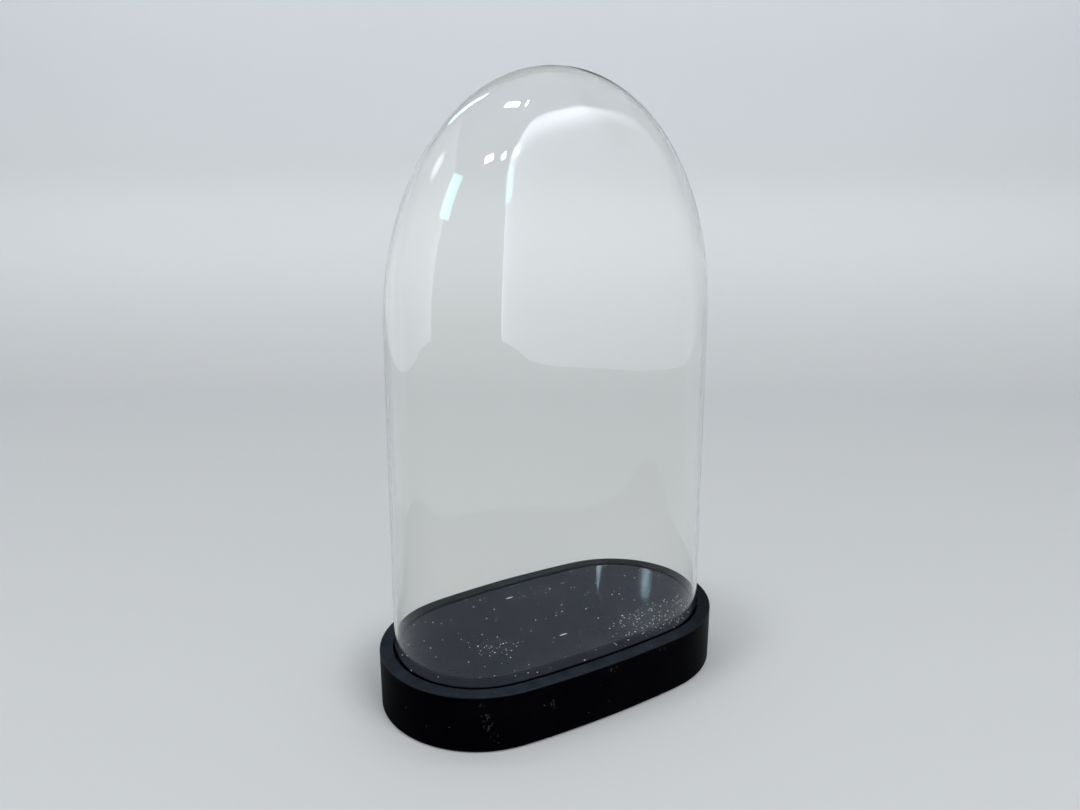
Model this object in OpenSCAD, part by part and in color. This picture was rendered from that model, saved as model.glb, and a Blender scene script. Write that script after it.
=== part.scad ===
// Oval bell jar: a blown glass dome that stands in the groove of a black wooden base.
// The frame's origin is the centre of the underside, +X runs along the length and +Z is up.

/* [Base] */
// Length of the base over its round ends
base_length = 317; // [260:1:380]
// Width of the base across its long sides
base_width = 180; // [150:1:200]
// Height of the rim's top above the table
base_height = 51; // [48:1:70]
// How far the middle of each long side bows out from straight
side_bow = 3.2; // [1:0.1:8]
// Thickness of the hoop, which is the width of the flat rim
rim_width = 11.6; // [10:0.1:16]
// Rounding of the hoop's outer top edge
rim_round = 1.4; // [0.5:0.1:3]

/* [Groove and boards] */
// Width of the groove between the hoop and the display floor
groove_width = 4.6; // [4.6:0.1:7]
// Thickness of the display floor, which is the depth of the groove
floor_thickness = 12; // [11:0.5:15]
// Thickness of the carrier board under the display floor
carrier_thickness = 12; // [11:0.5:15]
// Thickness of the felt that the glass stands on
felt_thickness = 1.5; // [1:0.1:2.5]
// Thickness of the felt pads under the hoop
pad_thickness = 1.5; // [1:0.1:3]
// Diameter of the felt pads
pad_diameter = 9; // [6:0.5:9.5]

/* [Glass dome] */
// Height of the whole object above the table
overall_height = 520; // [420:1:600]
// Height at which the glass starts to round in
shoulder_height = 320; // [220:1:360]
// Thickness of the glass
glass_wall = 2.5; // [2:0.1:3]
// Play between the glass and the hoop's inner face
glass_play = 1; // [0.6:0.1:1.2]
// Fullness of the crown, 2 is a true ellipse
crown_fullness = 2.05; // [1.9:0.01:2.6]
// How far the glass leans in on each side between foot and shoulder
glass_lean = 3; // [0:0.1:6]

/* [Hidden] */

BLACK_PAINT = [0.035, 0.036, 0.040];
BARE_PINE = [0.72, 0.56, 0.37];
BLACK_FELT = [0.05, 0.05, 0.055];
STEEL = [0.62, 0.62, 0.60];
GLASS = [0.86, 0.93, 0.91, 0.35];

// The plan is an oval of four tangent arcs: two round ends and two shallow long sides.
end_radius = base_width / 2 - side_bow;
end_centre = base_length / 2 - end_radius;
side_radius = (end_centre * end_centre + base_width * base_width / 4 - end_radius * end_radius)
              / (2 * side_bow);
side_centre = side_radius - base_width / 2;
// Half of the angle that an end arc turns through
end_turn = atan2(side_centre, end_centre);
side_turn = 90 - end_turn;

// Insets from the outer face of the hoop
floor_inset = rim_width + groove_width;
glass_inset = rim_width + glass_play;

// Heights above the table
groove_bottom = base_height - floor_thickness;
carrier_bottom = groove_bottom - carrier_thickness;
foot_gap = 0.3;
glass_foot = groove_bottom + felt_thickness + foot_gap;

// Rows of points on the glass
end_steps = 24;
side_steps = 6;
wall_steps = 5;
crown_steps = 16;
ring_points = 2 * (end_steps + side_steps);
// Steps on the outline of the wooden pieces
base_end_steps = 40;
base_side_steps = 10;
apex_share = 0.04;
foot_round = 0.5;

// Rounding of the hoop's inner top edge
inner_round = 0.7;
glue_line = 0.05;
screw_play = 0.05;
felt_play = 0.2;
overshoot = 1;

screw_span_x = 190;
screw_span_y = 86;
screw_length = 20;
screw_diameter = 4;
screw_head_diameter = 8;
screw_head_depth = 2.4;
screw_slot_width = 1;
screw_slot_depth = 1.1;
screw_head_sink = 0.4;
screw_places = [for (x = [-1, 0, 1], y = [-1, 1]) [x * screw_span_x / 2, y * screw_span_y / 2]];

block_length = 40;
block_side = 15;
// The flat back of a block touches the hoop's curve at its two ends
block_reach = sqrt(pow(side_radius - rim_width, 2) - pow(block_length / 2, 2)) - glue_line;

pad_span_x = 110;

$fn = 96;

// Point of the oval, inset from the outer outline, on the arc that turns about a centre
function arc_point(centre, radius, angle) = centre + radius * [cos(angle), sin(angle)];

// Points once round the oval, anticlockwise, with so many steps on each end and each long side
function oval_points(inset, ends, sides) = concat(
    [for (i = [0 : ends - 1])
        arc_point([end_centre, 0], end_radius - inset, -end_turn + i * 2 * end_turn / ends)],
    [for (i = [0 : sides - 1])
        arc_point([0, -side_centre], side_radius - inset, end_turn + i * 2 * side_turn / sides)],
    [for (i = [0 : ends - 1])
        arc_point([-end_centre, 0], end_radius - inset, 180 - end_turn + i * 2 * end_turn / ends)],
    [for (i = [0 : sides - 1])
        arc_point([0, side_centre], side_radius - inset, 180 + end_turn + i * 2 * side_turn / sides)]);

// Profile of the glass as [inset, share of the plan, height] rows from the foot to under the apex.
// The wall leans in a little up to the shoulder, and the crown is a superellipse.
function glass_profile(inset, foot, shoulder, top) = concat(
    [for (i = [0 : wall_steps])
        let (k = i / wall_steps)
        [inset + glass_lean * k, 1, foot + (shoulder - foot) * k]],
    [for (i = [1 : crown_steps])
        let (t = i * (90 - asin(apex_share)) / crown_steps)
        [inset + glass_lean, pow(cos(t), 2 / crown_fullness),
         shoulder + (top - shoulder) * pow(sin(t), 2 / crown_fullness)]]);

// Rings of points that carry the oval up a profile
function loft_points(profile, ends, sides) =
    [for (ring = profile) for (p = oval_points(ring[0], ends, sides))
        [p[0] * ring[1], p[1] * ring[1], ring[2]]];

// Triangles between two rings of so many points, which start at points first and second
function band(first, second, count) =
    [for (i = [0 : count - 1])
        let (j = (i + 1) % count)
        each [[first + i, second + j, first + j], [first + i, second + i, second + j]]];

// Triangles of every band of a lofted skin, and of the fan that closes it at its apex
function skin(start, rings, count) = [for (k = [0 : rings - 2])
    each band(start + k * count, start + (k + 1) * count, count)];
function fan(start, apex, count) = [for (i = [0 : count - 1])
    [start + i, apex, start + (i + 1) % count]];
function turned(faces) = [for (f = faces) [f[0], f[2], f[1]]];

// The flat outline of a board
module oval_outline(inset) {
    polygon(oval_points(inset, base_end_steps, base_side_steps));
}

module oval_board(inset, low, high) {
    translate([0, 0, low]) linear_extrude(high - low) oval_outline(inset);
}

// A ring of the oval whose section is a closed list of [inset, height] points
module oval_ring(section) {
    count = 2 * (base_end_steps + base_side_steps);
    rows = [for (p = section) [p[0], 1, p[1]]];
    points = loft_points(rows, base_end_steps, base_side_steps);
    faces = concat(skin(0, len(rows), count), band((len(rows) - 1) * count, 0, count));
    polyhedron(points, faces, convexity = 4);
}

// Quarter round points from one direction to the next
function round_points(centre, radius, from, to, steps = 4) =
    [for (i = [0 : steps]) arc_point(centre, radius, from + (to - from) * i / steps)];

module glass_dome() {
    rise = glass_foot + foot_round;
    outer = glass_profile(glass_inset, rise, shoulder_height, overall_height);
    inner = glass_profile(glass_inset + glass_wall, rise, shoulder_height, overall_height - glass_wall);
    // The ground foot is flat between two softened edges
    foot = [[glass_inset + foot_round, 1, glass_foot],
            [glass_inset + glass_wall - foot_round, 1, glass_foot]];
    rings = len(outer);
    points = concat(loft_points(concat(outer, inner, foot), end_steps, side_steps),
                    [[0, 0, overall_height], [0, 0, overall_height - glass_wall]]);
    inner_start = rings * ring_points;
    foot_start = 2 * inner_start;
    apex = foot_start + 2 * ring_points;
    faces = concat(
        skin(0, rings, ring_points), fan(inner_start - ring_points, apex, ring_points),
        turned(skin(inner_start, rings, ring_points)),
        turned(fan(foot_start - ring_points, apex + 1, ring_points)),
        turned(band(0, foot_start, ring_points)),
        turned(band(foot_start, foot_start + ring_points, ring_points)),
        turned(band(foot_start + ring_points, inner_start, ring_points)));
    color(GLASS) polyhedron(points, faces, convexity = 6);
}

module rim_hoop() {
    color(BLACK_PAINT)
        oval_ring(concat(
            [[rim_width, pad_thickness], [0, pad_thickness]],
            round_points([rim_round, base_height - rim_round], rim_round, 180, 90),
            round_points([rim_width - inner_round, base_height - inner_round], inner_round, 90, 0, 2)));
}

// The display floor is the plateau inside the groove
module display_floor() {
    color(BLACK_PAINT)
        difference() {
            oval_board(floor_inset, groove_bottom, base_height);
            screw_shanks(screw_play);
        }
}

module carrier_board() {
    color(BARE_PINE)
        difference() {
            oval_board(rim_width + glue_line, carrier_bottom, groove_bottom);
            screw_shanks(screw_play);
        }
}

module groove_felt() {
    color(BLACK_FELT)
        translate([0, 0, groove_bottom])
            linear_extrude(felt_thickness)
                difference() {
                    oval_outline(rim_width + felt_play);
                    oval_outline(floor_inset - felt_play);
                }
}

// One countersunk wood screw, point upwards, as a turned outline
module screw_body(extra) {
    shank = screw_diameter / 2 + extra;
    head = screw_head_diameter / 2 + extra;
    rotate_extrude($fn = 32)
        polygon([[0, 0], [head, 0], [head, screw_head_sink], [shank, screw_head_depth],
                 [shank, screw_length - screw_diameter], [0, screw_length]]);
}

module screw_shanks(extra) {
    for (p = screw_places)
        translate([p[0], p[1], carrier_bottom]) screw_body(extra);
}

module floor_screws() {
    color(STEEL)
        for (p = screw_places)
            translate([p[0], p[1], carrier_bottom])
                difference() {
                    screw_body(0);
                    translate([-screw_head_diameter, -screw_slot_width / 2, -overshoot])
                        cube([2 * screw_head_diameter, screw_slot_width, screw_slot_depth + overshoot]);
                }
}

// One triangular block, glued in the corner of the hoop and the carrier board
module glue_block() {
    rotate([0, -90, 0])
        translate([0, 0, -block_length / 2])
            linear_extrude(block_length)
                polygon([[-block_side, 0], [0, 0], [0, -block_side]]);
}

// Turns a piece about the centre of the back side's arc, to the left and right and on both sides
module along_sides() {
    for (side = [0, 180], x = [-1, 1])
        rotate(side)
            translate([0, -side_centre, 0])
                rotate(x * asin(pad_span_x / 2 / side_radius))
                    children();
}

module glue_blocks() {
    color(BARE_PINE)
        along_sides()
            translate([0, block_reach, carrier_bottom]) glue_block();
}

module foot_pad() {
    cylinder(d = pad_diameter, h = pad_thickness, $fn = 48);
}

module foot_pads() {
    color(BLACK_FELT) {
        for (side = [0, 180])
            rotate(side)
                translate([base_length / 2 - rim_width / 2, 0, 0]) foot_pad();
        along_sides()
            translate([0, side_radius - rim_width / 2, 0]) foot_pad();
    }
}

glass_dome();
rim_hoop();
display_floor();
carrier_board();
groove_felt();
floor_screws();
glue_blocks();
foot_pads();
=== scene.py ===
"""Looks of an oval glass display dome on a black wooden base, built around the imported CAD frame."""

import logging
import math
from dataclasses import dataclass
from enum import Enum
from typing import Optional, Sequence, Union

import bpy
import numpy as np
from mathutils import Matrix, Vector

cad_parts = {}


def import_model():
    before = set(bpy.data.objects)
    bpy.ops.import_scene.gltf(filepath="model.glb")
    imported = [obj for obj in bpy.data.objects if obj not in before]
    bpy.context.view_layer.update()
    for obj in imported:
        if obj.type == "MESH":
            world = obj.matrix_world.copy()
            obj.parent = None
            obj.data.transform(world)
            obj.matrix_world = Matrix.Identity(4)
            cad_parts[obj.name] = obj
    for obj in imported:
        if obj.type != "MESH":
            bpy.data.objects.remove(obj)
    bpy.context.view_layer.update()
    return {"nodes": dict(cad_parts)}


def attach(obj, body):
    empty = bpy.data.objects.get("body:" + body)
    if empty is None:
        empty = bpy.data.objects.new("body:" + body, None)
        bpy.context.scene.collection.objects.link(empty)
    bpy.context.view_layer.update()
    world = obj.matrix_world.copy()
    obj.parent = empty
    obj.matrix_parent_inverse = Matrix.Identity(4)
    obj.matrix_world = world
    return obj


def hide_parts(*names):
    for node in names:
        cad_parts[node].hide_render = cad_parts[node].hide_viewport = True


LOG = logging.getLogger("bell_jar")
MM = 0.001

Span = tuple[float, float]
Colour = tuple[float, float, float]
Point = tuple[float, float, float]
Owner = Union[bpy.types.Material, bpy.types.Light, bpy.types.World]

SKY: Colour = (0.74, 0.90, 1.0)
DAYLIGHT: Colour = (0.48, 0.95, 1.0)
DARK: Colour = (0.0, 0.0, 0.0)

# Side of a rectangle from which only the eased corners at one side are taken
CORNER_BLOCK = 20 * MM

# Indices of the two colours and of their mix among a Mix node's sockets
MIX_COLOURS = (6, 7)
MIX_RESULT = 2


class Body(Enum):
    """The rigid bodies of the CAD frame."""

    BASE = "base"
    DOME = "dome"


class Slot(Enum):
    """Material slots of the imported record."""

    GLASS = "clear_glass"
    PAINT = "black_paint"
    FLOOR = "black_paint_floor"
    PINE = "bare_pine"
    FELT = "black_felt"
    STEEL = "screw_steel"


class Reach(Enum):
    """What a studio light does.

    A fill lights the surfaces, a card is only seen in reflections, and a gleam is only seen through
    the glass, in the floor under the dome.
    """

    FILL = "fill"
    CARD = "card"
    GLEAM = "gleam"


class Fade(Enum):
    """The side to which a light fades, seen from the light towards its aim."""

    LEFT = "left"
    RIGHT = "right"


class Mark(Enum):
    """Point attributes of the meshes that the finishes read."""

    ARRIS = "arris"
    INWARD = "inward"


@dataclass(frozen=True)
class OvalPlan:
    """The oval outline of the base, in metres.

    Four tangent arcs make the oval. The step in curvature where they meet is smoothed over a short
    length, and the result is scaled back to the stated length and width.
    """

    length: float = 317 * MM
    width: float = 180 * MM
    bow: float = 3.2 * MM
    soften: float = 9 * MM
    count: int = 240
    fineness: int = 40

    def arcs(self) -> tuple[float, float, float, float]:
        """Returns: end radius, end centre, side radius and half of the turn of an end arc."""
        end_r = self.width / 2 - self.bow
        end_x = self.length / 2 - end_r
        side_r = (end_x**2 + self.width**2 / 4 - end_r**2) / (2 * self.bow)
        return end_r, end_x, side_r, math.atan2(side_r - self.width / 2, end_x)

    def outline(self) -> tuple[np.ndarray, np.ndarray]:
        """Walks the outline: its direction is the running sum of its smoothed curvature.

        Returns: points and outward normals, each (count, 2), anticlockwise from the +X end.
        """
        end_r, _, side_r, turn = self.arcs()
        end_len = 2 * turn * end_r
        side_len = 2 * (math.pi / 2 - turn) * side_r
        total = 2 * (end_len + side_len)
        fine = self.fineness * self.count
        step = total / fine
        index = np.arange(fine)
        along = np.abs(((index + 0.5) * step + end_len / 2) % (total / 2) - end_len / 2)
        curvature = np.where(along < end_len / 2, 1 / end_r, 1 / side_r)
        kernel = np.exp(-0.5 * (np.minimum(index, fine - index) * step / self.soften) ** 2)
        blur = np.fft.fft(kernel / kernel.sum())
        curvature = np.fft.ifft(np.fft.fft(curvature) * blur).real
        curvature *= 2 * math.pi / (curvature.sum() * step)
        angle = (np.cumsum(curvature) - curvature / 2) * step
        walk = np.cumsum(np.stack([-np.sin(angle), np.cos(angle)], 1) * step, 0)
        walk -= (walk.max(0) + walk.min(0)) / 2
        walk *= np.array([self.length, self.width]) / np.ptp(walk, axis=0)
        pick = np.arange(self.count) * self.fineness
        tangent = walk[(pick + 1) % fine] - walk[(pick - 1) % fine]
        normal = np.stack([tangent[:, 1], -tangent[:, 0]], 1)
        return walk[pick], normal / np.linalg.norm(normal, axis=1, keepdims=True)


def section_rows(section: np.ndarray) -> np.ndarray:
    """Makes (n, 3) rows of inset, share 1 and height from a section's (n, 2) points."""
    return np.stack([section[:, 0], np.ones(len(section)), section[:, 1]], 1)


def loft(plan: OvalPlan, rows: np.ndarray) -> np.ndarray:
    """Carries the oval along a list of section rows.

    Each ring is the outline moved in by the row's inset along its normals, scaled by its share and
    raised to its height.

    Args:
        plan: the outline.
        rows: (n, 3) insets, shares and heights; insets and heights are in metres.

    Returns: (n, count, 3) points.
    """
    points, normals = plan.outline()
    flat = points[None] - rows[:, 0, None, None] * normals[None]
    flat = flat * rows[:, 1, None, None]
    height = np.broadcast_to(rows[:, 2, None, None], flat.shape[:2] + (1,))
    return np.concatenate([flat, height], 2)


def eased_section(
    corners: Sequence[Sequence[float]], radii: Sequence[float], support: float, steps: int = 7
) -> tuple[np.ndarray, np.ndarray]:
    """Rounds each square corner of a closed section by a quarter circle.

    A point of the quarter is the arc's centre less the radius times cos t along the next side and
    sin t along the last one. A support point on the flat beside each end keeps its shading flat.

    Args:
        corners: (n, 2) corners in order.
        radii: one radius per corner.
        support: distance of a support point from the end of its arc.
        steps: points on each arc.

    Returns: (n, steps + 2, 2) points, and (n, steps + 2) shares that are 1 in the middle of an arc.
    """
    corner = np.asarray(corners, float)[:, None]
    radius = np.asarray(radii, float)[:, None, None]
    last = np.roll(corner, 1, 0) - corner
    last /= np.linalg.norm(last, axis=2, keepdims=True)
    following = np.roll(corner, -1, 0) - corner
    following /= np.linalg.norm(following, axis=2, keepdims=True)
    t = np.linspace(0, math.pi / 2, steps)[None, :, None]
    centre = corner + radius * (last + following)
    arc = centre - radius * (np.cos(t) * following + np.sin(t) * last)
    before = corner + (radius + support) * last
    after = corner + (radius + support) * following
    share = np.concatenate([[0], np.sin(2 * t[0, :, 0]), [0]])
    return np.concatenate([before, arc, after], 1), np.tile(share, (len(corner), 1))


def grid_faces(rows: int, columns: int, closed: bool) -> np.ndarray:
    """Joins neighbouring rings of a grid of vertices.

    Args:
        rows: number of rings.
        columns: vertices in each ring.
        closed: whether the last ring is joined to the first.

    Returns: (n, 4) vertex indices.
    """
    r = np.arange(rows if closed else rows - 1)[:, None]
    c = np.arange(columns)[None]
    below = r * columns
    above = ((r + 1) % rows) * columns
    quads = [below + c, below + (c + 1) % columns, above + (c + 1) % columns, above + c]
    return np.stack([np.broadcast_to(q, (len(r), columns)) for q in quads], -1).reshape(-1, 4)


def capped(rings: np.ndarray, first: float, last: float) -> tuple[np.ndarray, list[np.ndarray]]:
    """Closes a stack of rings by fans to two poles on the Z axis.

    Args:
        rings: (rows, columns, 3) points.
        first: height of the pole inside the first ring.
        last: height of the pole inside the last ring.

    Returns: (n, 3) points and their faces.
    """
    rows, columns = rings.shape[:2]
    c = np.arange(columns)
    n = (c + 1) % columns
    end = (rows - 1) * columns
    pole = np.full(columns, rows * columns)
    fans = [np.stack([n, c, pole], 1), np.stack([end + c, end + n, pole + 1], 1)]
    points = np.concatenate([rings.reshape(-1, 3), [[0, 0, first], [0, 0, last]]])
    return points, [grid_faces(rows, columns, False), *fans]


def make_mesh(
    name: str,
    points: np.ndarray,
    faces: Sequence[np.ndarray],
    marks: Optional[dict[Mark, np.ndarray]] = None,
) -> bpy.types.Object:
    """Builds a smooth-shaded mesh object at the origin.

    Args:
        name: the piece's name.
        points: (..., 3) vertices in metres.
        faces: arrays of vertex indices, one row per face.
        marks: point attributes, one value per vertex.

    Returns: the linked object.
    """
    mesh = bpy.data.meshes.new(name)
    mesh.from_pydata(points.reshape(-1, 3).tolist(), [], sum((part.tolist() for part in faces), []))
    mesh.polygons.foreach_set("use_smooth", np.ones(len(mesh.polygons), bool))
    for mark, values in (marks or {}).items():
        layer = mesh.attributes.new(mark.value, "FLOAT", "POINT")
        layer.data.foreach_set("value", values.astype(np.float32).ravel())
    mesh.update()
    piece = bpy.data.objects.new(name, mesh)
    bpy.context.scene.collection.objects.link(piece)
    return piece


def install(piece: bpy.types.Object, finish: bpy.types.Material, body: Body, node: str) -> None:
    """Puts a dressed piece in the place of a CAD node.

    Args:
        piece: the new mesh.
        finish: its material.
        body: the CAD body that it moves with.
        node: the CAD node that it stands for.
    """
    piece.data.materials.append(finish)
    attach(piece, body.value)
    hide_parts(node)
    LOG.info("%s stands for %s with %d faces", piece.name, node, len(piece.data.polygons))


Operand = Union["Socket", float]


class Socket:
    """One value in a node graph, with arithmetic that makes Math nodes."""

    def __init__(self, graph: "Graph", ref: bpy.types.NodeSocket) -> None:
        """Wraps an output of a node in a graph."""
        self.graph = graph
        self.ref = ref

    def _math(self, kind: str, *values: Operand) -> "Socket":
        """Returns: the result of a Math node."""
        return self.graph.node("ShaderNodeMath", *values, settings={"operation": kind})

    def __add__(self, other: Operand) -> "Socket":
        """Returns: the sum."""
        return self._math("ADD", self, other)

    __radd__ = __add__

    def __mul__(self, other: Operand) -> "Socket":
        """Returns: the product."""
        return self._math("MULTIPLY", self, other)

    __rmul__ = __mul__

    def __sub__(self, other: Operand) -> "Socket":
        """Returns: the difference."""
        return self._math("SUBTRACT", self, other)

    def __rsub__(self, other: float) -> "Socket":
        """Returns: a number less this value."""
        return self._math("SUBTRACT", other, self)

    def __truediv__(self, other: Operand) -> "Socket":
        """Returns: the quotient."""
        return self._math("DIVIDE", self, other)

    def __pow__(self, other: float) -> "Socket":
        """Returns: the power."""
        return self._math("POWER", self, other)

    def __mod__(self, other: float) -> "Socket":
        """Returns: the remainder, never below zero."""
        return self._math("FLOORED_MODULO", self, other)

    def above(self, least: float) -> "Socket":
        """Returns: a share squeezed into the range from least to 1."""
        return least + (1 - least) * self

    def swing(self, amount: float) -> "Socket":
        """Returns: the value's distance from a half, times an amount."""
        return (self - 0.5) * amount

    def step(self, low: float, high: float) -> "Socket":
        """Makes a smooth rise, or a fall where high is the smaller.

        Args:
            low: the value that gives 0.
            high: the value that gives 1.

        Returns: the share between them.
        """
        ends = (min(low, high), max(low, high))
        smooth = {"interpolation_type": "SMOOTHSTEP"}
        rise = self.graph.node("ShaderNodeMapRange", self, *ends, settings=smooth)
        return rise if high > low else 1 - rise

    def output(self, name: str) -> "Socket":
        """Returns: another output of the same node."""
        return Socket(self.graph, self.ref.node.outputs[name])


Value = Union[Socket, float, Sequence[float]]


@dataclass(frozen=True)
class Noise:
    """Noise of a scale per metre, drawn on the point after it is multiplied by stretch."""

    scale: float
    detail: float = 4.0
    stretch: Point = (1, 1, 1)


@dataclass(frozen=True)
class Specks:
    """Small spots of varied size, at most one in each cell of a random grid.

    The size is the largest radius as a share of a cell, and a flat grid lies in x and y.
    """

    per_metre: float
    size: float
    flat: bool = False
    smallest: float = 0.35
    core: float = 0.6
    chosen: Span = (0.99, 1.0)


class Graph:
    """The node tree of one material, light or world."""

    def __init__(self, owner: Owner, end: str) -> None:
        """Empties the owner's tree and gives it an output.

        Args:
            owner: the material, light or world.
            end: the type name of its output node.
        """
        owner.use_nodes = True
        self.owner = owner
        self.tree = owner.node_tree
        self.tree.nodes.clear()
        self.end = self.tree.nodes.new(end)

    @classmethod
    def material(cls, name: str) -> "Graph":
        """Returns: the tree of a new material."""
        return cls(bpy.data.materials.new(name), "ShaderNodeOutputMaterial")

    def put(self, target: bpy.types.NodeSocket, value: Value) -> None:
        """Links a socket to an input, or sets a constant on it.

        Args:
            target: the input.
            value: the socket or the constant.
        """
        if isinstance(value, Socket):
            self.tree.links.new(value.ref, target)
        else:
            target.default_value = value

    def node(
        self,
        kind: str,
        *values: Value,
        settings: Optional[dict[str, object]] = None,
        at: Optional[dict[Union[int, str], Value]] = None,
        out: Union[int, str] = 0,
    ) -> Socket:
        """Makes a node.

        Args:
            kind: the node's type name.
            values: its first inputs, in order.
            settings: its properties, which are set first.
            at: inputs by index or name.
            out: the output's index or name.

        Returns: the output.
        """
        made = self.tree.nodes.new(kind)
        for key, setting in (settings or {}).items():
            setattr(made, key, setting)
        for target, value in zip(made.inputs, values):
            self.put(target, value)
        for key, value in (at or {}).items():
            self.put(made.inputs[key], value)
        return Socket(self, made.outputs[out])

    def place(self) -> Socket:
        """Returns: the point in the object's own coordinates, which are the shared frame."""
        return self.node("ShaderNodeTexCoord", out="Object")

    def axes(self) -> tuple[Socket, Socket, Socket]:
        """Returns: x, y and z of the point, in metres."""
        x = self.node("ShaderNodeSeparateXYZ", self.place())
        return x, x.output("Y"), x.output("Z")

    def mark(self, mark: Mark) -> Socket:
        """Returns: a point attribute of the mesh."""
        return self.node("ShaderNodeAttribute", settings={"attribute_name": mark.value}, out="Fac")

    def noise(self, kind: Noise) -> Socket:
        """Returns: noise at the point, about a half on average."""
        times = {"operation": "MULTIPLY"}
        moved = self.node("ShaderNodeVectorMath", self.place(), kind.stretch, settings=times)
        return self.node("ShaderNodeTexNoise", moved, at={"Scale": kind.scale, "Detail": kind.detail})

    def specks(self, kind: Specks, density: Value) -> Socket:
        """Scatters spots.

        Args:
            kind: their sizes and spacing.
            density: share of the cells that hold a spot.

        Returns: 1 on the spots and 0 between them.
        """
        cells = self.node(
            "ShaderNodeTexVoronoi",
            self.place(),
            settings={"voronoi_dimensions": "2D" if kind.flat else "3D"},
            at={"Scale": kind.per_metre},
            out="Distance",
        )
        chance = self.node("ShaderNodeSeparateColor", cells.output("Color"))
        grow = chance.output("Green").above(kind.smallest)
        spot = (cells / grow).step(kind.size, kind.size * kind.core)
        return spot * (chance + density).step(*kind.chosen)

    def blend(self, share: Value, first: Union[Socket, Colour], second: Union[Socket, Colour]) -> Socket:
        """Returns: a colour between two colours, by the share of the second."""
        ends = [c if isinstance(c, Socket) else (*c, 1.0) for c in (first, second)]
        kind = {"data_type": "RGBA"}
        at = dict(zip(MIX_COLOURS, ends))
        return self.node("ShaderNodeMix", share, settings=kind, at=at, out=MIX_RESULT)

    def bump(self, height: Socket, distance: float) -> Socket:
        """Returns: a normal tilted by a height of so many metres."""
        return self.node("ShaderNodeBump", at={"Height": height, "Strength": 1.0, "Distance": distance})

    def surface(self, **inputs: Value) -> Socket:
        """Returns: a Principled shader; input names use _ for a space."""
        named = {key.replace("_", " "): value for key, value in inputs.items()}
        return self.node("ShaderNodeBsdfPrincipled", at=named)

    def done(self, shader: Socket) -> Owner:
        """Returns: the owner with this shader on its surface."""
        self.put(self.end.inputs["Surface"], shader)
        return self.owner


@dataclass(frozen=True)
class Patch:
    """A soft oval patch on two coordinates, in their own units; lean slants its second axis."""

    centre: Span
    reach: Span
    lean: float = 0.0
    edge: Span = (1.0, 0.15)

    def mask(self, first: Socket, second: Socket) -> Socket:
        """Draws the patch by the squared distance from its centre, counted in reaches.

        Args:
            first: the coordinate along its first axis.
            second: the coordinate along its second axis.

        Returns: 1 in the middle and 0 outside.
        """
        up = second - self.centre[1]
        u = (first - self.centre[0] + up * self.lean) / self.reach[0]
        v = up / self.reach[1]
        return (u * u + v * v).step(*self.edge)


@dataclass(frozen=True)
class Dusting:
    """How much dust there is anywhere, and how much more in heavy and in light patches."""

    plain: float
    heavy: float
    light: float

    def amount(self, heavy: Socket, light: Socket) -> Socket:
        """Returns: the amount at a point."""
        return self.plain + self.heavy * heavy + self.light * light


@dataclass(frozen=True)
class PineGrain:
    """Flat-sawn softwood along X, whose growth rings are a saw wave of y bent by noise."""

    early: Colour = (0.60, 0.40, 0.215)
    late: Colour = (0.36, 0.195, 0.085)
    dark: Colour = (0.30, 0.17, 0.08)
    drift: Noise = Noise(7, 2, (0.35, 1, 1))
    bend: float = 0.05
    rings_per_metre: float = 210
    ring_power: float = 3
    fibre: Noise = Noise(900, 3, (0.04, 1, 1))
    fibre_range: Span = (0.45, 0.75)
    fibre_share: float = 0.35

    def paint(self, g: Graph) -> Socket:
        """Draws the grain.

        Args:
            g: the material's graph.

        Returns: the colour.
        """
        _, y, _ = g.axes()
        ring = ((y + g.noise(self.drift) * self.bend) * self.rings_per_metre) % 1.0
        colour = g.blend(ring**self.ring_power, self.early, self.late)
        fibre = g.noise(self.fibre).step(*self.fibre_range) * self.fibre_share
        return g.blend(fibre, colour, self.dark)


@dataclass(frozen=True)
class GlassFinish:
    """Clear, faintly green blown glass that lets lamp light through.

    Its reflections are a little weak and bluish, as on old handled glass.
    """

    tint: Colour = (0.990, 0.992, 0.982)
    gloss: Colour = (0.48, 0.52, 0.57)
    ior: float = 1.5

    def build(self) -> bpy.types.Material:
        """Returns: the material."""
        g = Graph.material(Slot.GLASS.value)
        glass = g.surface(
            Base_Color=(*self.tint, 1),
            Roughness=0.0,
            IOR=self.ior,
            Transmission_Weight=1.0,
            Specular_Tint=(*self.gloss, 1),
        )
        clear = g.node("ShaderNodeBsdfTransparent", (*self.tint, 1))
        path = g.node("ShaderNodeLightPath", out="Is Shadow Ray")
        lighting = (path + path.output("Is Diffuse Ray")).step(0.0, 1.0)
        return g.done(g.node("ShaderNodeMixShader", lighting, glass, clear))


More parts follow.
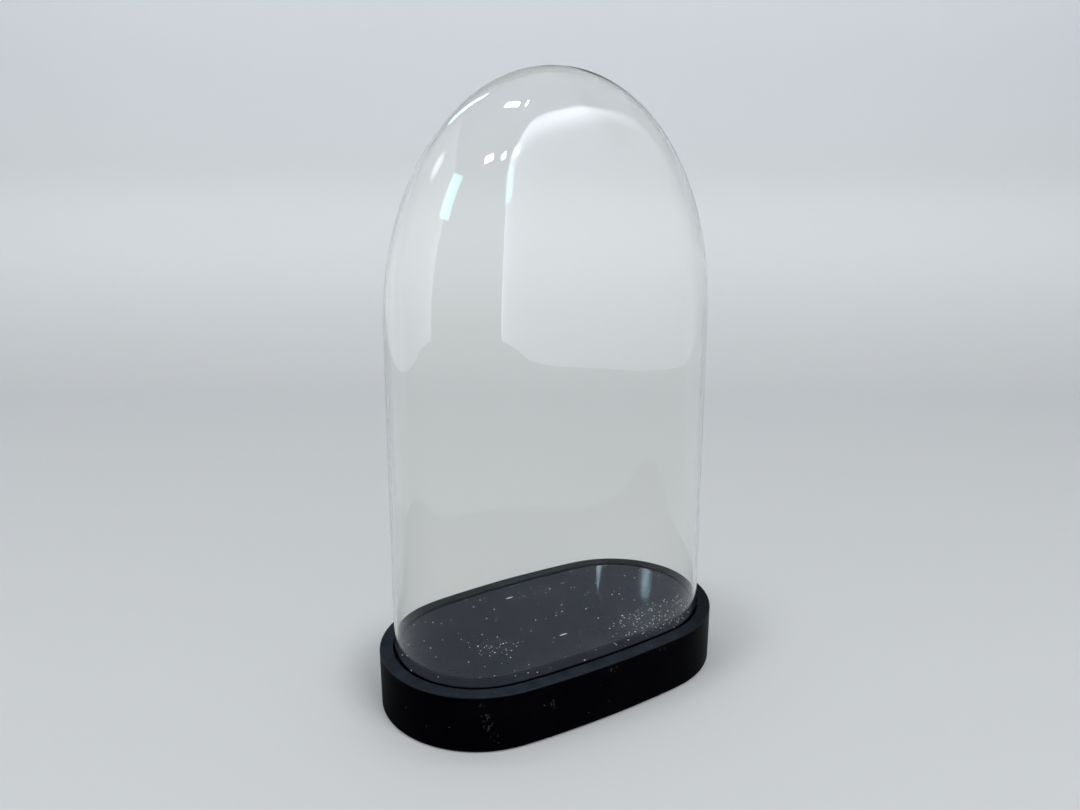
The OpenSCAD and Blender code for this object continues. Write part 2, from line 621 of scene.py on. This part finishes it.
@dataclass(frozen=True)
class HoopPaint:
    """Flat black paint on a wooden hoop.

    A thin film lightens the rim, partly dust and partly a painted sheen from above; it is weaker
    towards the right end and absent from the groove. The outer arris is lighter, partly polished by
    wear and partly a painted highlight, and chipped. A few scuffs on the near side show the brown
    primer, and the paint ends in a ragged line under the hoop, where its inside is bare wood.
    """

    colour: Colour = (0.0003, 0.0003, 0.0010)
    faded: Colour = (0.0012, 0.0012, 0.0025)
    burnish_and_highlight: Colour = (0.017, 0.020, 0.027)
    rim_dust_and_sheen: Colour = (0.013, 0.018, 0.025)
    primer: Colour = (0.050, 0.038, 0.036)
    lint: Colour = (0.30, 0.30, 0.32)
    shine: float = 0.022
    roughness: float = 0.42
    cloud: Noise = Noise(38, 5)
    cloud_range: Span = (0.35, 0.75)
    cloud_share: float = 0.6
    cloud_rough: float = 0.12
    burnish_and_highlight_noise: Noise = Noise(24, 3)
    burnish_and_highlight_least: float = 0.35
    burnish_smooth: float = 0.12
    rim_face: Span = (0.0500, 0.0509)
    groove_edge: Span = (0.99, 0.90)
    right_end_fade: Span = (0.05, 0.13)
    right_end_fade_share: float = 0.65
    film: Noise = Noise(60, 6)
    film_range: Span = (0.30, 0.72)
    film_least: float = 0.55
    chips: Noise = Noise(330)
    chip_range: Span = (0.62, 0.68)
    chip_share: float = 0.6
    scuffs: tuple[Patch, ...] = (
        Patch((-0.1080, 0.026), (0.0060, 0.027), 0.31),
        Patch((-0.0548, 0.031), (0.0045, 0.010)),
        Patch((0.002, 0.044), (0.012, 0.005)),
        Patch((0.062, 0.047), (0.020, 0.003)),
    )
    near_side: Span = (-0.02, -0.05)
    flecks: Noise = Noise(480, 5, (1, 1, 0.6))
    fleck_gain: float = 0.12
    fleck_range: Span = (0.66, 0.72)
    fleck_share: float = 0.5
    fluff: Specks = Specks(240, 0.16)
    fluff_density: float = 0.05
    fluff_share: float = 0.55
    ragged: Noise = Noise(90)
    ragged_depth: float = 0.3
    paint_end: Span = (0.70, 0.78)
    inside_top: Span = (0.034, 0.030)
    wood: PineGrain = PineGrain()
    wood_rough: float = 0.25
    skin: Noise = Noise(700, 3)
    skin_height: float = 0.04 * MM

    def build(self) -> bpy.types.Material:
        """Returns: the material."""
        g = Graph.material(Slot.PAINT.value)
        x, y, z = g.axes()
        cloud = g.noise(self.cloud)
        colour = g.blend(cloud.step(*self.cloud_range) * self.cloud_share, self.colour, self.faded)
        inward = g.mark(Mark.INWARD)
        open_side = inward.step(*self.groove_edge)
        arris = g.mark(Mark.ARRIS) * open_side
        # Lighter outer arris: partly wear, partly a painted highlight
        colour = g.blend(arris * g.noise(self.burnish_and_highlight_noise).above(self.burnish_and_highlight_least), colour, self.burnish_and_highlight)
        # Rim top lightened by a film that is partly dust and partly painted sheen, weaker towards the right
        # end
        film = z.step(*self.rim_face) * open_side * (1 - self.right_end_fade_share * x.step(*self.right_end_fade))
        film = film * g.noise(self.film).step(*self.film_range).above(self.film_least)
        colour = g.blend(film, colour, self.rim_dust_and_sheen)
        chips = (arris * g.noise(self.chips)).step(*self.chip_range)
        rubbed = sum(scuff.mask(x, z) for scuff in self.scuffs) * y.step(*self.near_side)
        flecks = (g.noise(self.flecks) + rubbed * self.fleck_gain).step(*self.fleck_range)
        shown = (chips * self.chip_share + flecks * rubbed * self.fleck_share).step(0.0, 1.0)
        colour = g.blend(shown, colour, self.primer)
        colour = g.blend(g.specks(self.fluff, self.fluff_density) * self.fluff_share, colour, self.lint)
        ragged = inward + g.noise(self.ragged).swing(self.ragged_depth)
        bare = ragged.step(*self.paint_end) * z.step(*self.inside_top)
        colour = g.blend(bare, colour, self.wood.paint(g))
        rough = self.roughness + cloud.swing(self.cloud_rough)
        shader = g.surface(
            Base_Color=colour,
            Roughness=rough + bare * self.wood_rough - arris * self.burnish_smooth,
            Normal=g.bump(g.noise(self.skin), self.skin_height),
            Specular_IOR_Level=self.shine,
        )
        return g.done(shader)


@dataclass(frozen=True)
class FloorPaint:
    """Satin black paint on the display floor, with hair scratches and settled dust.

    The dust lies thick along the near right edge and thinner in two small patches, with a scratch and
    a flake between them. The board's side, in the groove, is darkened to near black: painted shade of the
    groove.
    """

    colour: Colour = (0.014, 0.016, 0.024)
    faded: Colour = (0.022, 0.024, 0.033)
    dust: Colour = (0.62, 0.63, 0.65)
    groove_shade: Colour = (0.0004, 0.0004, 0.0010)
    groove_wall: Span = (0.0503, 0.0493)
    shine: float = 0.03
    roughness: float = 0.06
    cloud: Noise = Noise(30, 5)
    cloud_range: Span = (0.35, 0.75)
    cloud_share: float = 0.7
    cloud_rough: float = 0.05
    hair: Noise = Noise(75, 4, (1, 14, 1))
    hair_range: Span = (0.70, 0.76)
    hair_share: float = 0.06
    drift: Patch = Patch((0.088, -0.050), (0.062, 0.030))
    drift_rough: float = 0.10
    cluster: Patch = Patch((-0.064, -0.015), (0.026, 0.017))
    far_cluster: Patch = Patch((0.020, 0.052), (0.028, 0.014))
    far_share: float = 0.5
    film: Noise = Noise(1400, 3)
    film_share: Dusting = Dusting(0.006, 0.035, 0.01)
    large: Specks = Specks(140, 0.13, flat=True)
    large_density: Dusting = Dusting(0.05, 0.16, 0.22)
    large_share: float = 0.8
    small: Specks = Specks(360, 0.30, flat=True)
    small_density: Dusting = Dusting(0.015, 0.32, 0.12)
    small_share: float = 0.7
    scratch: Patch = Patch((-0.007, -0.029), (0.0052, 0.0011))
    flake: Patch = Patch((-0.013, 0.053), (0.0050, 0.0013))
    mark_share: float = 0.7
    skin: Noise = Noise(420, 3)
    skin_height: float = 0.005 * MM

    def build(self) -> bpy.types.Material:
        """Returns: the material."""
        g = Graph.material(Slot.FLOOR.value)
        x, y, z = g.axes()
        cloud = g.noise(self.cloud)
        colour = g.blend(cloud.step(*self.cloud_range) * self.cloud_share, self.colour, self.faded)
        colour = g.blend(g.noise(self.hair).step(*self.hair_range) * self.hair_share, colour, self.dust)
        heavy = self.drift.mask(x, y)
        light = self.cluster.mask(x, y) + self.far_cluster.mask(x, y) * self.far_share
        colour = g.blend(g.noise(self.film) * self.film_share.amount(heavy, light), colour, self.dust)
        large = g.specks(self.large, self.large_density.amount(heavy, light)) * self.large_share
        small = g.specks(self.small, self.small_density.amount(heavy, light)) * self.small_share
        marks = (self.scratch.mask(x, y) + self.flake.mask(x, y)) * self.mark_share
        colour = g.blend((large + small + marks).step(0.0, 1.0), colour, self.dust)
        # Painted shade: the board's side down in the groove is made near black
        colour = g.blend(z.step(*self.groove_wall), colour, self.groove_shade)
        shader = g.surface(
            Base_Color=colour,
            Roughness=self.roughness + cloud.swing(self.cloud_rough) + heavy * self.drift_rough,
            Normal=g.bump(g.noise(self.skin), self.skin_height),
            Specular_IOR_Level=self.shine,
        )
        return g.done(shader)


@dataclass(frozen=True)
class PineFinish:
    """Bare, unfinished pine."""

    grain: PineGrain = PineGrain()
    roughness: float = 0.72
    nap: Noise = Noise(1100, 3, (0.08, 1, 1))
    nap_height: float = 0.08 * MM

    def build(self) -> bpy.types.Material:
        """Returns: the material."""
        g = Graph.material(Slot.PINE.value)
        normal = g.bump(g.noise(self.nap), self.nap_height)
        return g.done(g.surface(Base_Color=self.grain.paint(g), Roughness=self.roughness, Normal=normal))


@dataclass(frozen=True)
class FeltFinish:
    """Dense black felt of short matted fibres."""

    dark: Colour = (0.008, 0.008, 0.009)
    light: Colour = (0.034, 0.034, 0.038)
    roughness: float = 0.96
    fibre: Noise = Noise(2600, 5)
    fibre_share: float = 0.7
    clump: Noise = Noise(350, 3)
    light_range: Span = (0.40, 0.62)
    nap_height: float = 0.12 * MM

    def build(self) -> bpy.types.Material:
        """Returns: the material."""
        g = Graph.material(Slot.FELT.value)
        fibre = g.noise(self.fibre)
        clump = g.noise(self.clump)
        mixed = fibre * self.fibre_share + clump * (1 - self.fibre_share)
        colour = g.blend(mixed.step(*self.light_range), self.dark, self.light)
        normal = g.bump(fibre + clump, self.nap_height)
        return g.done(g.surface(Base_Color=colour, Roughness=self.roughness, Normal=normal))


@dataclass(frozen=True)
class SteelFinish:
    """Plain turned steel with fine tool marks and a little tarnish."""

    bright: Colour = (0.60, 0.59, 0.56)
    tarnish: Colour = (0.30, 0.26, 0.21)
    roughness: float = 0.36
    stain: Noise = Noise(420)
    stain_range: Span = (0.48, 0.72)
    stain_share: float = 0.7
    stain_rough: float = 0.25
    tool_marks: Noise = Noise(1800, 2, (1, 8, 1))
    tool_height: float = 0.02 * MM

    def build(self) -> bpy.types.Material:
        """Returns: the material."""
        g = Graph.material(Slot.STEEL.value)
        stain = g.noise(self.stain).step(*self.stain_range)
        shader = g.surface(
            Base_Color=g.blend(stain * self.stain_share, self.bright, self.tarnish),
            Roughness=self.roughness + stain * self.stain_rough,
            Metallic=1.0,
            Normal=g.bump(g.noise(self.tool_marks), self.tool_height),
        )
        return g.done(shader)


@dataclass(frozen=True)
class Wave:
    """A sine wave in the glass: its share of the ripple, waves around, radians upwards and start."""

    share: float
    around: float
    upward: float
    start: float = 0.0


@dataclass
class GlassDome:
    """The blown dome: a leaning wall, a superelliptic crown, and a ground foot."""

    plan: OvalPlan
    foot: float = 40.8 * MM
    shoulder: float = 320 * MM
    top: float = 520 * MM
    inset: float = 12.6 * MM
    lean: float = 3.0 * MM
    wall: float = 2.5 * MM
    fullness: float = 2.05
    foot_round: float = 0.9 * MM
    support: float = 0.1 * MM
    ripple: float = 0.07 * MM
    waves: tuple[Wave, ...] = (
        Wave(1.0, 5, 9, 1.1),
        Wave(0.6, 9, -14, 0.4),
        Wave(0.16, 37, 2),
        Wave(0.12, 53, -3, 2.0),
    )
    wall_rows: int = 40
    crown_rows: int = 80
    finish: GlassFinish = GlassFinish()

    def _skin(self, inset: float, top: float) -> np.ndarray:
        """Lays out one skin: a straight leaning wall, then a superellipse up to just under the apex.

        Args:
            inset: inset of the skin's foot.
            top: height of its apex.

        Returns: section rows from the foot upwards.
        """
        k = np.linspace(0, 1, self.wall_rows)
        start = self.foot + self.foot_round
        wall = np.stack([inset + self.lean * k, np.ones_like(k), start + (self.shoulder - start) * k], 1)
        t = np.linspace(0, math.pi / 2, self.crown_rows + 2)[1:-1]
        power = 2 / self.fullness
        rise = self.shoulder + (top - self.shoulder) * np.sin(t) ** power
        crown = np.stack([np.full_like(t, inset + self.lean), np.cos(t) ** power, rise], 1)
        return np.concatenate([wall, crown])

    def _ripples(self, rings: np.ndarray) -> np.ndarray:
        """Waves the glass as blowing leaves it.

        Two crossed sine waves and two fine ones that run almost straight up move both skins together
        along the outline's normals. All fade out at the foot and the apex.

        Args:
            rings: (n, count, 3) points.

        Returns: the moved points.
        """
        _, normals = self.plan.outline()
        u = 2 * math.pi * np.arange(self.plan.count)[None] / self.plan.count
        h = np.clip((rings[:, :1, 2] - self.foot) / (self.top - self.foot), 0, 1)
        wave = sum(w.share * np.sin(w.around * u + w.upward * h + w.start) for w in self.waves)
        shift = self.ripple * np.sin(math.pi * h) * wave
        moved = rings.copy()
        moved[..., :2] += shift[..., None] * normals[None]
        return moved

    def build(self) -> None:
        """Makes the piece, which stands for the CAD dome."""
        far = self.inset + self.wall
        outer = self._skin(self.inset, self.top)
        inner = self._skin(far, self.top - self.wall)
        high = self.foot + CORNER_BLOCK
        corners = [(far, self.foot), (self.inset, self.foot), (self.inset, high), (far, high)]
        bead, _ = eased_section(corners, [self.foot_round] * len(corners), self.support)
        # Without support points, and without the ends that the skins already have
        edge = np.concatenate([bead[0, 2:-1], bead[1, 1:-2]])
        rows = np.concatenate([inner[::-1], section_rows(edge), outer])
        rings = self._ripples(loft(self.plan, rows))
        piece = make_mesh("blown_glass_dome", *capped(rings, self.top - self.wall, self.top))
        install(piece, self.finish.build(), Body.DOME, "glass_dome")


@dataclass
class WoodenBase:
    """The hoop, the display floor and the felts as modelled pieces, and finishes for the rest."""

    plan: OvalPlan
    low: float = 1.5 * MM
    top: float = 51 * MM
    rim: float = 11.6 * MM
    floor_inset: float = 16.2 * MM
    groove_low: float = 39 * MM
    arris: float = 1.4 * MM
    inner_arris: float = 0.7 * MM
    low_arris: float = 0.5 * MM
    support: float = 0.4 * MM
    felt_play: float = 0.2 * MM
    felt_thickness: float = 1.5 * MM
    felt_round: float = 0.55 * MM
    pad_diameter: float = 9 * MM
    pad_span: float = 110 * MM
    pad_columns: int = 40
    floor_rings: int = 14
    hoop_paint: HoopPaint = HoopPaint()
    floor_paint: FloorPaint = FloorPaint()
    felt: FeltFinish = FeltFinish()
    pine: PineFinish = PineFinish()
    steel: SteelFinish = SteelFinish()

    def _ring(self, name: str, insets: Span, heights: Span, radii: Sequence[float]) -> bpy.types.Object:
        """Carries a rectangle with eased corners round the oval.

        Args:
            name: the piece's name.
            insets: outer and inner inset.
            heights: low and high.
            radii: roundings of the low inner, low outer, high outer and high inner corner.

        Returns: the object, with marks for its arrises and for how far in a point lies.
        """
        (near, far), (low, high) = insets, heights
        corners = [(far, low), (near, low), (near, high), (far, high)]
        section, arris = eased_section(corners, radii, self.support)
        rows = section_rows(section.reshape(-1, 2))
        count = self.plan.count
        spread = np.ones((1, count))
        marks = {
            Mark.ARRIS: arris.reshape(-1, 1) * spread,
            Mark.INWARD: (rows[:, :1] - near) / (far - near) * spread,
        }
        return make_mesh(name, loft(self.plan, rows), [grid_faces(len(rows), count, True)], marks)

    def _hoop(self) -> None:
        """Makes the hoop, whose flat top is the rim."""
        radii = (self.low_arris, self.low_arris, self.arris, self.inner_arris)
        piece = self._ring("painted_hoop", (0, self.rim), (self.low, self.top), radii)
        install(piece, self.hoop_paint.build(), Body.BASE, "rim_hoop")

    def _floor(self) -> None:
        """Makes the display floor: an eased side, closed above and below by rings that shrink."""
        inset = self.floor_inset
        far = inset + CORNER_BLOCK
        corners = [(inset, self.groove_low), (inset, self.top), (far, self.top), (far, self.groove_low)]
        radii = (self.low_arris, self.inner_arris, 0, 0)
        section, _ = eased_section(corners, radii, self.support)
        side = section_rows(section[:2].reshape(-1, 2))
        share = np.linspace(1, 0, self.floor_rings)[1:-1]
        below, above = (np.stack(np.broadcast_arrays(row[0], share, row[2]), 1) for row in side[[0, -1]])
        rings = loft(self.plan, np.concatenate([below[::-1], side, above]))
        piece = make_mesh("painted_display_floor", *capped(rings, self.groove_low, self.top))
        install(piece, self.floor_paint.build(), Body.BASE, "display_floor")

    def _groove_felt(self, felt: bpy.types.Material) -> None:
        """Makes the felt strip on the bottom of the groove, soft at its upper edges.

        Args:
            felt: its material.
        """
        insets = (self.rim + self.felt_play, self.floor_inset - self.felt_play)
        heights = (self.groove_low, self.groove_low + self.felt_thickness)
        soft = self.felt_round
        piece = self._ring("felt_groove_strip", insets, heights, (soft / 4, soft / 4, soft, soft))
        install(piece, felt, Body.BASE, "groove_felt")

    def _pad_places(self) -> np.ndarray:
        """Works out the pads' middles, on the middle line of the hoop.

        One pad is at each round end. On each long side two lie on the side's arc, turned from its
        middle by the angle whose sine is half the span over the arc's radius.

        Returns: (6, 2) points.
        """
        _, _, side_r, _ = self.plan.arcs()
        middle = self.rim / 2
        turn = math.asin(self.pad_span / 2 / side_r)
        across = (side_r - middle) * math.sin(turn)
        out = (side_r - middle) * math.cos(turn) - (side_r - self.plan.width / 2)
        end = self.plan.length / 2 - middle
        half = np.array([[end, 0], [across, out], [-across, out]])
        return np.concatenate([half, -half])

    def _foot_pads(self, felt: bpy.types.Material) -> None:
        """Turns a low disc with soft edges at each pad's place.

        Args:
            felt: its material.
        """
        soft = self.felt_round
        radius = self.pad_diameter / 2
        columns = self.pad_columns
        corners = [(radius, 0), (radius, self.low), (0, self.low), (0, 0)]
        section, _ = eased_section(corners, (soft, soft / 2, 0, 0), self.support)
        profile = section[:2].reshape(-1, 2)
        u = 2 * math.pi * np.arange(columns) / columns
        circle = np.stack([np.cos(u), np.sin(u)], 1)
        disc = np.empty((len(profile), columns, 3))
        disc[..., :2] = profile[:, :1, None] * circle
        disc[..., 2] = profile[:, 1:]
        one, parts = capped(disc, 0, self.low)
        places = np.pad(self._pad_places(), ((0, 0), (0, 1)))
        points = one[None] + places[:, None]
        starts = np.arange(len(places))[:, None, None] * len(one)
        faces = [(part[None] + starts).reshape(-1, part.shape[1]) for part in parts]
        piece = make_mesh("felt_foot_pads", points, faces)
        install(piece, felt, Body.BASE, "foot_pads")

    def build(self, nodes: dict[str, bpy.types.Object]) -> None:
        """Makes the base's pieces and dresses the CAD nodes that stay.

        Args:
            nodes: the CAD nodes by name.
        """
        self._hoop()
        self._floor()
        felt = self.felt.build()
        self._groove_felt(felt)
        self._foot_pads(felt)
        pine = self.pine.build()
        kept = {
            "carrier_board": (pine, Slot.PINE),
            "glue_blocks": (pine, Slot.PINE),
            "floor_screws": (self.steel.build(), Slot.STEEL),
        }
        for name, (material, slot) in kept.items():
            node = nodes[name]
            node.data.materials.clear()
            node.data.materials.append(material)
            LOG.info("%s keeps its CAD shape", name)


@dataclass(frozen=True)
class WallGlow:
    """How the light of a wall falls off across its face, in shares of the face.

    It fades by the distance from its bright edge to a power below one. To the right it also ends in
    an arch with a bright crest, which drops by the root of the distance past its top. To the left it
    has a bright streak.
    """

    dim: Colour = (0.02, 0.02, 0.02)
    crest: Colour = (1.3, 1.3, 1.3)
    falloff: float = 0.27
    arch_top: float = 0.64
    arch_drop: float = 1.1
    arch_edge: Span = (1.03, 0.93)
    crest_rise: Span = (0.70, 0.96)
    crest_end: Span = (0.76, 0.56)
    streak: Patch = Patch((0.45, 0.69), (0.08, 0.11))
    streak_share: float = 0.7

    def paint(self, g: Graph, bright: Colour, side: Fade) -> Socket:
        """Draws the wall.

        Args:
            g: the light's graph.
            bright: colour of its bright edge.
            side: the side to which it fades.

        Returns: the colour.
        """
        face = g.node("ShaderNodeNewGeometry", out="Parametric")
        u = g.node("ShaderNodeSeparateXYZ", face, out="X")
        v = u.output("Y")
        if side is Fade.LEFT:
            glow = g.blend((1 - u) ** self.falloff, bright, self.dim)
            return g.blend(self.streak_share * self.streak.mask(u, v), glow, self.crest)
        glow = g.blend(u**self.falloff, bright, self.dim)
        rise = v + self.arch_drop * (u - self.arch_top).step(0.0, 1.0) ** 0.5
        glow = g.blend(rise.step(*self.crest_rise) * u.step(*self.crest_end), glow, self.crest)
        return g.blend(rise.step(*self.arch_edge), DARK, glow)


@dataclass(frozen=True)
class SoftLight:
    """A rectangular studio light that faces a point; glow is its radiance."""

    name: str
    place: Point
    aim: Point
    size: Span
    glow: float
    colour: Colour = (1, 1, 1)
    reach: Reach = Reach.CARD
    fade: Optional[Fade] = None
    wall: WallGlow = WallGlow()

    def _colour_face(self, lamp: bpy.types.Light) -> None:
        """Colours a wall that fades, or a gleam, which shows only on paths that met a shiny surface.

        Args:
            lamp: the light's data.
        """
        g = Graph(lamp, "ShaderNodeOutputLight")
        if self.reach is Reach.GLEAM:
            shiny = g.node("ShaderNodeLightPath", out="Glossy Depth").step(0.0, 1.0)
            glow = g.blend(shiny, DARK, self.colour)
        else:
            glow = self.wall.paint(g, self.colour, self.fade)
        g.done(g.node("ShaderNodeEmission", glow, 1.0))

    def build(self) -> None:
        """Adds the light, which the camera doesn't see; its power is glow times its area and pi."""
        lamp = bpy.data.lights.new(self.name, "AREA")
        lamp.shape = "RECTANGLE"
        lamp.size, lamp.size_y = self.size
        lamp.energy = self.glow * math.pi * self.size[0] * self.size[1]
        lamp.color = self.colour
        if self.fade or self.reach is Reach.GLEAM:
            self._colour_face(lamp)
        holder = bpy.data.objects.new(self.name, lamp)
        holder.location = self.place
        holder.rotation_mode = "QUATERNION"
        holder.rotation_quaternion = (Vector(self.aim) - Vector(self.place)).to_track_quat("-Z", "Y")
        holder.visible_camera = False
        holder.visible_diffuse = self.reach is Reach.FILL
        holder.visible_glossy = self.reach is Reach.CARD
        holder.visible_transmission = self.reach is Reach.GLEAM
        bpy.context.scene.collection.objects.link(holder)


@dataclass
class Studio:
    """The pale sweep, soft lights and camera."""

    floor_colour: Colour = (0.585, 0.600, 0.612)
    wall_foot_tone_and_light: Colour = (0.683, 0.705, 0.722)
    wall_tone_and_light: Colour = (0.690, 0.717, 0.753)
    wall_rise: Span = (0.0, 0.8)
    foot_rise: Span = (0.0, 0.25)
    foot_end: Span = (0.42, 0.28)
    floor_mirrored: Colour = (0.10, 0.105, 0.11)
    dim_reach: Span = (0.15, -0.15)
    haze_reach: Span = (1.6, 3.0)
    haze_rise: Span = (0.94, 0.79)
    air_colour: Colour = (0.93, 0.97, 1.0)
    air_light: float = 0.45
    air_seen: float = 0.58
    air_mirrored: float = 0.30
    sweep_half: float = 9.0
    sweep_near: float = -1.0
    sweep_start: float = 0.9
    sweep_radius: float = 0.6
    sweep_top: float = 0.95
    sweep_steps: int = 24
    lens: float = 31.58
    sensor: float = 36
    camera_place: Point = (-0.4103, -0.6435, 0.4772)
    camera_look: Point = (0.50421, 0.81534, -0.28461)
    lights: tuple[SoftLight, ...] = (
        SoftLight("backdrop_wash", (0.37, 0.60, 2.6), (0.79, 1.28, 1.0), (4.0, 0.6), 1.7, reach=Reach.FILL),
        SoftLight("left_key", (-2.4, -0.1, 1.6), (0, 0, 0.05), (1.2, 1.2), 6.2, reach=Reach.FILL),
        SoftLight("front_fill", (0.2, -2.2, 1.9), (0, 0, 0.05), (1.6, 1.2), 6.6, reach=Reach.FILL),
        SoftLight("right_wall", (0.8, -0.975, 0.96), (0.104, -0.257, 0.96), (2.23, 1.9), 11, fade=Fade.RIGHT),
        SoftLight("left_wall", (-1.075, 0.75, 0.96), (-0.303, 0.113, 0.96), (2.59, 1.9), 8, fade=Fade.LEFT),
        SoftLight("left_window", (-2.49, -0.30, 2.1), (0, 0, 0.43), (0.80, 0.90), 15, DAYLIGHT),
        SoftLight("right_window", (0.16, -2.63, 1.9), (0, 0, 0.43), (0.40, 0.65), 11, DAYLIGHT),
        SoftLight("tube_one", (-1.35, -1.85, 3.0), (0, 0, 0.45), (0.60, 0.22), 50),
        SoftLight("tube_two", (-0.45, -2.60, 3.0), (0, 0, 0.45), (0.36, 0.20), 50),
        SoftLight("tube_three", (0.55, -3.0, 3.0), (0, 0, 0.45), (0.40, 0.28), 50),
        SoftLight("tube_four", (-0.08, -0.47, 3.0), (0.28, -0.17, 0.49), (0.85, 0.22), 50),
        SoftLight("tube_five", (0.66, -1.01, 3.0), (0, 0, 0.49), (0.26, 0.16), 50),
        SoftLight("back_tube", (-0.15, 1.2, 1.44), (0, 0, 0.49), (0.09, 0.60), 24, DAYLIGHT),
        SoftLight(
            "gleam_left", (0.774, 1.016, 0.64), (0.077, 0.039, 0.05), (0.008, 0.06), 20, SKY, Reach.GLEAM
        ),
        SoftLight(
            "gleam_right", (0.868, 0.937, 0.65), (0.113, 0.004, 0.05), (0.022, 0.08), 17, SKY, Reach.GLEAM
        ),
    )

    def _sweep_paper(self, away: np.ndarray) -> bpy.types.Material:
        """Makes the paper, which fades into the air far off and at its top; mirrored, its front is dim.

        Args:
            away: the level direction away from the camera.

        Returns: the material.
        """
        g = Graph.material("studio_paper")
        x, y, z = g.axes()
        path = g.node("ShaderNodeLightPath", out="Is Camera Ray")
        through = path.output("Is Transmission Ray")
        mirrored = (path.output("Is Glossy Ray") - through).step(0.0, 1.0)
        front = (x * float(away[0]) + y * float(away[1])).step(*self.dim_reach)
        # The backdrop grades lighter upwards and in a band at its foot: painted light falloff over the
        # paper's pale tone
        colour = g.blend(z.step(*self.wall_rise), self.floor_colour, self.wall_tone_and_light)
        colour = g.blend(z.step(*self.foot_rise) * z.step(*self.foot_end), colour, self.wall_foot_tone_and_light)
        colour = g.blend(mirrored * front, colour, self.floor_mirrored)
        paper = g.surface(Base_Color=colour, Roughness=1.0, Specular_IOR_Level=0.0)
        haze = g.node("ShaderNodeEmission", (*self.air_colour, 1), self.air_seen)
        far = ((x * x + y * y) ** 0.5).step(*self.haze_reach)
        far = 1 - (1 - far) * z.step(*self.haze_rise)
        return g.done(g.node("ShaderNodeMixShader", far * (path + through), paper, haze))

    def _sweep(self) -> None:
        """Makes the floor, which bends by a quarter circle up into a backdrop away from the camera."""
        look = np.array(self.camera_look[:2])
        away = look / np.linalg.norm(look)
        across = np.array([away[1], -away[0]])
        t = np.linspace(0, math.pi / 2, self.sweep_steps)
        bend = self.sweep_radius
        start = self.sweep_start
        floor = [-self.sweep_half, self.sweep_near]
        reach = np.concatenate([floor, start + bend * np.sin(t), [start + bend]])
        rise = np.concatenate([[0, 0], bend - bend * np.cos(t), [self.sweep_top]])
        side = np.array([-self.sweep_half, self.sweep_half])
        flat = reach[:, None, None] * away + side[None, :, None] * across
        points = np.concatenate([flat, np.broadcast_to(rise[:, None, None], flat.shape[:2] + (1,))], 2)
        r = np.arange(len(reach) - 1)
        sweep = make_mesh("studio_sweep", points, [np.stack([2 * r, 2 * r + 1, 2 * r + 3, 2 * r + 2], 1)])
        sweep.data.materials.append(self._sweep_paper(away))

    def _air(self) -> None:
        """Makes an even pale world that is dimmer in reflections, as a room behind the camera is."""
        g = Graph(bpy.data.worlds.new("studio_air"), "ShaderNodeOutputWorld")
        strengths = (self.air_light, self.air_mirrored, self.air_seen)
        light, mirrored, seen = (g.node("ShaderNodeBackground", (*self.air_colour, 1), k) for k in strengths)
        path = g.node("ShaderNodeLightPath", out="Is Camera Ray")
        shade = g.node("ShaderNodeMixShader", path.output("Is Glossy Ray"), light, mirrored)
        through = path + path.output("Is Transmission Ray")
        bpy.context.scene.world = g.done(g.node("ShaderNodeMixShader", through, shade, seen))

    def _camera(self) -> None:
        """Places the camera that was fitted to the photograph."""
        data = bpy.data.cameras.new("camera")
        data.lens = self.lens
        data.sensor_width = self.sensor
        holder = bpy.data.objects.new("camera", data)
        holder.location = self.camera_place
        holder.rotation_mode = "QUATERNION"
        holder.rotation_quaternion = Vector(self.camera_look).to_track_quat("-Z", "Y")
        bpy.context.scene.collection.objects.link(holder)
        bpy.context.scene.camera = holder

    def build(self) -> None:
        """Makes the studio."""
        self._sweep()
        self._air()
        for light in self.lights:
            light.build()
        self._camera()
        bpy.context.scene.view_settings.view_transform = "Standard"


def main() -> None:
    logging.basicConfig(level=logging.INFO)
    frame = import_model()
    plan = OvalPlan()
    WoodenBase(plan).build(frame["nodes"])
    GlassDome(plan).build()
    Studio().build()


if __name__ == "__main__":
    main()
